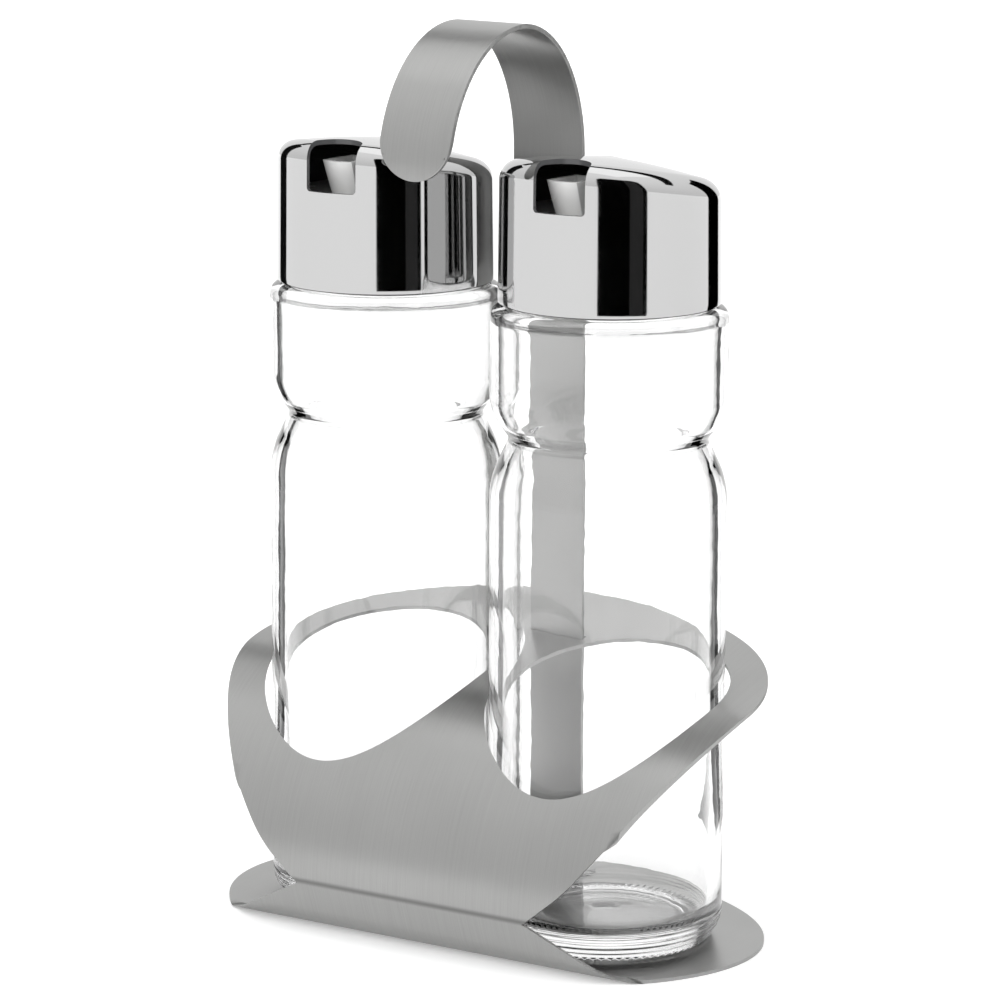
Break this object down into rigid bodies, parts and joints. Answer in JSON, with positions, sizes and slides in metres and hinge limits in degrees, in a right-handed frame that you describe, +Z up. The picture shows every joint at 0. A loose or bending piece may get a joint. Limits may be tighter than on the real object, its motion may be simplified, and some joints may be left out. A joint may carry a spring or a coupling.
{
  "type": "cruet set",
  "caption": "Cruet set: glass bottles with chrome pouring caps standing in a folded sheet-steel rack whose back strip arches over them as a handle.",
  "frame": {"origin": "centre of the rack's base, on the underside it stands on", "axes": "+X along the row of bottles, +Y to the back where the handle strip rises, +Z up"},
  "size_m": [0.1306, 0.0796, 0.202],
  "materials": {
    "brushed_stainless": "brushed along the strip and up the front plate",
    "clear_glass": "pressed clear soda-lime glass, slightly rippled",
    "chrome_plate": "mirror chrome plating on moulded plastic",
    "grey_plastic": "moulded satin grey ABS",
    "clear_silicone": "milky silicone"
  },
  "bodies": {
    "rack": {"rack_sheet": "brushed_stainless", "handle_strip": "brushed_stainless"},
    "bottle_left": {"glass_bottle_left": "clear_glass"},
    "cap_seal_left": {"sealing_ring_left": "clear_silicone"},
    "cap_left": {"threaded_sleeve_left": "grey_plastic", "pourer_left": "grey_plastic", "cap_shell_left": "chrome_plate"},
    "bottle_right": {"glass_bottle_right": "clear_glass"},
    "cap_seal_right": {"sealing_ring_right": "clear_silicone"},
    "cap_right": {"threaded_sleeve_right": "grey_plastic", "pourer_right": "grey_plastic", "cap_shell_right": "chrome_plate"}
  },
  "joints": [
    {"name": "bottle_left_lift_out", "type": "hinge", "parent": "rack", "child": "bottle_left", "pos_m": [-0.929, 0, 0.023], "axis": [0, -1, 0], "range_deg": [0, 7]},
    {"name": "cap_left_rise", "type": "slide", "parent": "bottle_left", "child": "cap_seal_left", "axis": [0, 0, 1], "range_m": [0, 0.018]},
    {"name": "cap_left_unscrew", "type": "hinge", "parent": "cap_seal_left", "child": "cap_left", "pos_m": [-0.029, 0, 0.15], "axis": [0, 0, 1], "range_deg": [0, 720.5]},
    {"name": "bottle_right_lift_out", "type": "hinge", "parent": "rack", "child": "bottle_right", "pos_m": [0.929, 0, 0.023], "axis": [0, 1, 0], "range_deg": [0, 7]},
    {"name": "cap_right_rise", "type": "slide", "parent": "bottle_right", "child": "cap_seal_right", "axis": [0, 0, 1], "range_m": [0, 0.018]},
    {"name": "cap_right_unscrew", "type": "hinge", "parent": "cap_seal_right", "child": "cap_right", "pos_m": [0.029, 0, 0.15], "axis": [0, 0, 1], "range_deg": [0, 720.5]}
  ],
  "couplings": [
    {"joint": "cap_left_unscrew", "follows": "cap_left_rise", "rad_per_m": 698.13},
    {"joint": "cap_right_unscrew", "follows": "cap_right_rise", "rad_per_m": 698.13}
  ]
}
